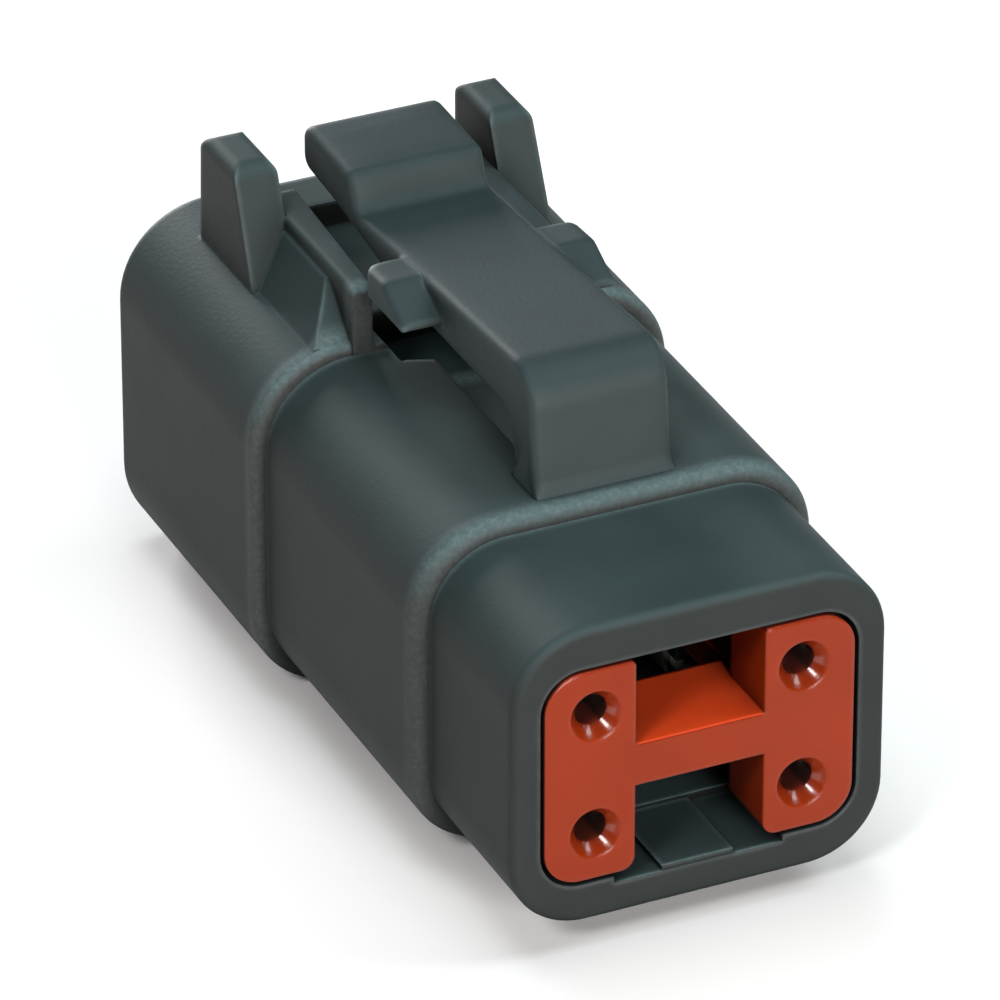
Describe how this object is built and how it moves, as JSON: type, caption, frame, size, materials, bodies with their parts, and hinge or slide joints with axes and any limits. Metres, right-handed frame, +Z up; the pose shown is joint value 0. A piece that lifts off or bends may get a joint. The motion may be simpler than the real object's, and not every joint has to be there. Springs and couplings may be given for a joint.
{
  "type": "sealed automotive connector plug",
  "caption": "Sealed rectangular plug with a stepped body, a finger latch between guard rails and fins, and an orange wedge lock with lead-in cones over socket contacts.",
  "frame": {"origin": "middle of the bounding box at its base: the flat underside of the rear section stands on Z = 0", "axes": "+Z up towards the latch, +Y from the mating face towards the wire end, +X to the right seen from the mating face"},
  "size_m": [0.019, 0.0376, 0.0217],
  "materials": {
    "shell_plastic": "dark slate glass-filled thermoplastic with a fine moulded texture",
    "lock_plastic": "smooth moulded orange thermoplastic",
    "seal_silicone": "soft orange-red silicone",
    "contact_plating": "nickel-plated copper alloy",
    "hood_steel": "bright drawn stainless steel"
  },
  "bodies": {
    "shell": {"housing": "shell_plastic", "wire_seal": "seal_silicone", "seal_retainer": "shell_plastic", "socket_contact_1": "contact_plating", "socket_contact_2": "contact_plating", "socket_contact_3": "contact_plating", "socket_contact_4": "contact_plating", "contact_hood_1": "hood_steel", "contact_hood_2": "hood_steel", "contact_hood_3": "hood_steel", "contact_hood_4": "hood_steel"},
    "latch": {"latch_arm": "shell_plastic"},
    "lock": {"wedge_lock": "lock_plastic"}
  },
  "joints": [
    {"name": "latch_press", "type": "hinge", "parent": "shell", "child": "latch", "pos_m": [0, -0.0086, 0.01579], "axis": [-1, 0, 0], "range_deg": [0, 5], "stiffness_Nm_per_rad": 2},
    {"name": "wedge_pull", "type": "slide", "parent": "shell", "child": "lock", "axis": [0, -1, 0], "range_m": [0, 0.006]}
  ]
}
